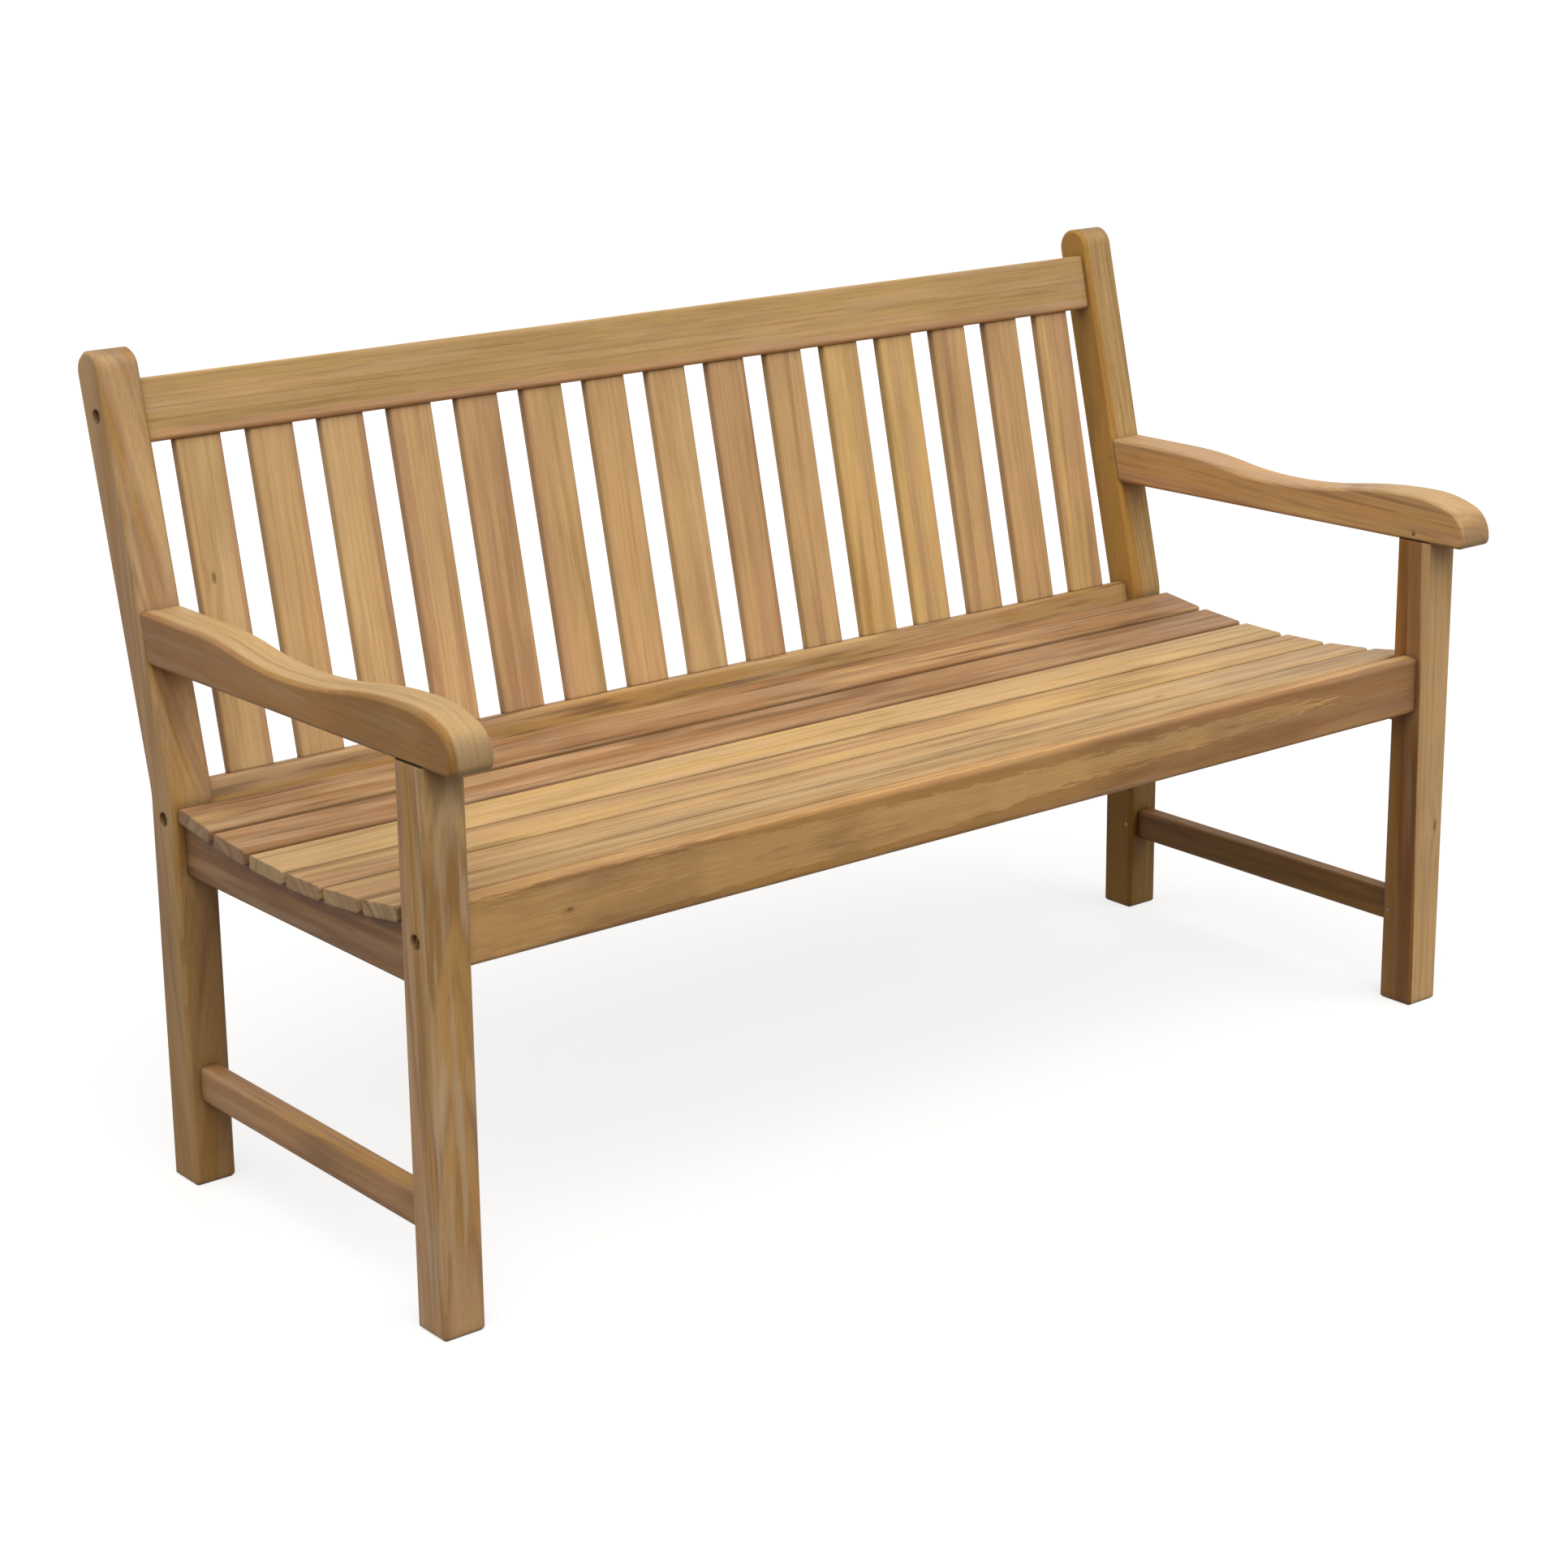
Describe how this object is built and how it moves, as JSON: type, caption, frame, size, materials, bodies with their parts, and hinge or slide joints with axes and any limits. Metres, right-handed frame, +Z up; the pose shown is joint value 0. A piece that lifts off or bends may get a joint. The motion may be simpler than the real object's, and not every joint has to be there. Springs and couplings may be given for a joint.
{
  "type": "garden bench",
  "caption": "Slatted hardwood garden bench with a dished seat, a leaning back of upright slats, cranked rear legs and swept armrests on two end frames.",
  "frame": {"origin": "on the floor, under the middle of the bench's outline", "axes": "+X along the bench to the right hand of someone who faces it, +Y to its back, +Z up"},
  "size_m": [1.5, 0.7084, 0.9202],
  "materials": {
    "teak": "bare, sanded, dry satin",
    "steel": "plain stainless"
  },
  "bodies": {
    "root": {"back_slat_01": "teak", "back_slat_02": "teak", "back_slat_03": "teak", "back_slat_04": "teak", "back_slat_05": "teak", "back_slat_06": "teak", "back_slat_07": "teak", "back_slat_08": "teak", "back_slat_09": "teak", "back_slat_10": "teak", "back_slat_11": "teak", "back_slat_12": "teak", "back_slat_13": "teak", "back_slat_14": "teak", "back_slat_15": "teak", "barrel_nuts": "steel", "front_seat_rail": "teak", "left_armrest": "teak", "left_front_leg": "teak", "left_rear_leg": "teak", "left_seat_rail": "teak", "left_stretcher": "teak", "locking_pins": "steel", "lower_back_rail": "teak", "middle_seat_bearer": "teak", "rail_bolts": "steel", "right_armrest": "teak", "right_front_leg": "teak", "right_rear_leg": "teak", "right_seat_rail": "teak", "right_stretcher": "teak", "seat_loose_tenons": "teak", "seat_slat_1": "teak", "seat_slat_2": "teak", "seat_slat_3": "teak", "seat_slat_4": "teak", "seat_slat_5": "teak", "seat_slat_6": "teak", "top_back_rail": "teak"}
  },
  "joints": []
}
